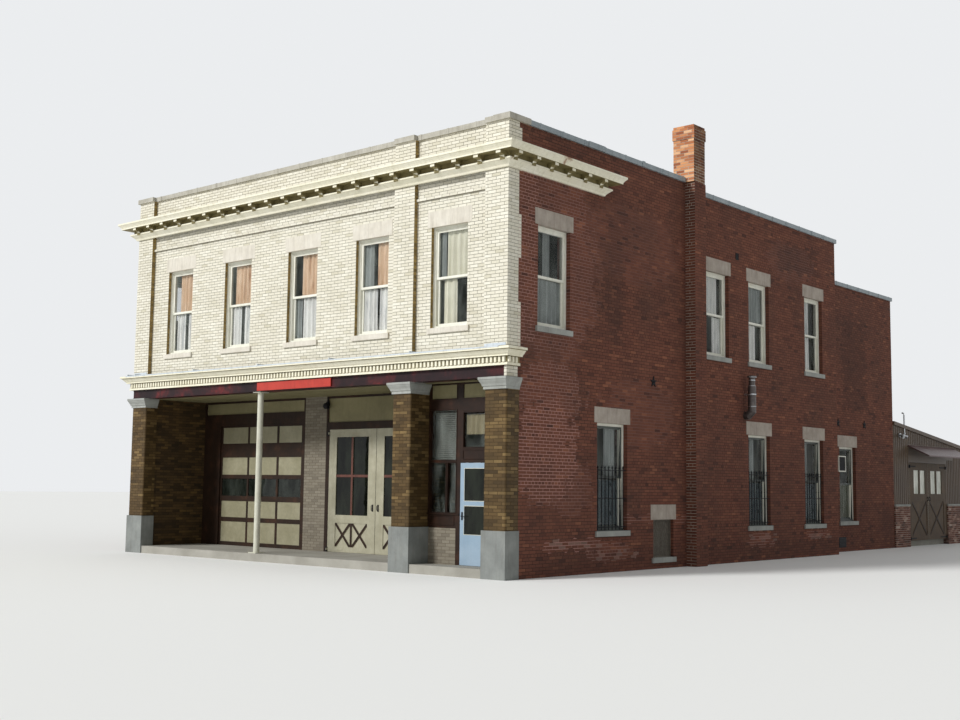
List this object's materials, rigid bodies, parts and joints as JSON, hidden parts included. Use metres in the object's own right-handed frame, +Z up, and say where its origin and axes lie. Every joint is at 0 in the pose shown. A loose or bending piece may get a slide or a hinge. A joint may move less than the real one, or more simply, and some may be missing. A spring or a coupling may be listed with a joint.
{
  "type": "fire station building",
  "caption": "Two-storey brick corner fire station with engine bays in a recessed porch, a bracketed cornice, a rear annex and a lean-to shed.",
  "frame": {"origin": "bottom centre of the whole building's box, on the ground", "axes": "+Y from the street front to the rear, +X to the right seen from the street, +Z up"},
  "size_m": [13.13, 26.56, 10.28],
  "materials": {
    "cream_brick": "satin",
    "red_brick": "matte",
    "amber_brick": "matte",
    "tan_brick": "matte",
    "grey_stone": "matte",
    "concrete": "matte",
    "timber": "matte",
    "roofing": "matte",
    "maroon_paint": "satin",
    "red_paint": "satin",
    "cream_paint": "satin",
    "glazed_coping": "satin",
    "galvanised": "matte",
    "white_paint": "satin",
    "brown_paint": "satin",
    "beige_paint": "satin",
    "dark_wood": "satin",
    "glass": "gloss",
    "brown_steel": "satin"
  },
  "bodies": {
    "building": {"front_wall": "cream_brick", "right_wall": "red_brick", "left_wall": "red_brick", "rear_wall": "red_brick", "ground_floor": "concrete", "upper_floor": "timber", "roof_decks": "roofing", "piers": "amber_brick", "pier_bases": "grey_stone", "pier_capitals": "grey_stone", "lintels": "grey_stone", "sills": "grey_stone", "front_beam": "maroon_paint", "sign_panel": "red_paint", "porch_ceiling": "cream_paint", "belt_cornice": "cream_paint", "roof_cornice": "cream_paint", "coping": "glazed_coping", "chimney": "red_brick", "vent_pipe": "galvanised", "porch_side_walls": "amber_brick", "steel_post": "white_paint", "garage_frame": "brown_paint", "garage_door": "beige_paint", "bay_pier": "tan_brick", "bay_jambs": "brown_paint", "bay_header": "brown_paint", "entry_bulkhead": "tan_brick", "entry_window": "dark_wood", "entry_posts": "dark_wood", "entry_head": "dark_wood", "window_frames": "cream_paint", "window_glass": "glass", "annex_walls": "red_brick", "shed_wainscot": "red_brick", "shed_siding": "brown_steel", "shed_door_head": "brown_steel", "shed_jambs": "brown_paint", "shed_roof": "roofing", "shed_awning": "brown_steel"},
    "bay_leaf_left": {"bay_door_left": "cream_paint"},
    "bay_leaf_right": {"bay_door_right": "cream_paint"},
    "entry_leaf": {"entry_door": "white_paint"},
    "shed_leaf_near": {"shed_door_near": "beige_paint"},
    "shed_leaf_far": {"shed_door_far": "beige_paint"}
  },
  "joints": [
    {"name": "bay_left_hinge", "type": "hinge", "parent": "building", "child": "bay_leaf_left", "pos_m": [-0.802, -11.022, 0.18], "axis": [0, 0, -1], "range_deg": [0, 90]},
    {"name": "bay_right_hinge", "type": "hinge", "parent": "building", "child": "bay_leaf_right", "pos_m": [2.372, -11.022, 0.18], "axis": [0, 0, 1], "range_deg": [0, 90]},
    {"name": "entry_hinge", "type": "hinge", "parent": "building", "child": "entry_leaf", "pos_m": [5.462, -12.342, 0.18], "axis": [0, 0, 1], "range_deg": [0, 90]},
    {"name": "shed_near_hinge", "type": "hinge", "parent": "building", "child": "shed_leaf_near", "pos_m": [5.587, 8.393, 0.18], "axis": [0, 0, -1], "range_deg": [0, 90]},
    {"name": "shed_far_hinge", "type": "hinge", "parent": "building", "child": "shed_leaf_far", "pos_m": [5.587, 11.547, 0.18], "axis": [0, 0, 1], "range_deg": [0, 90]}
  ]
}
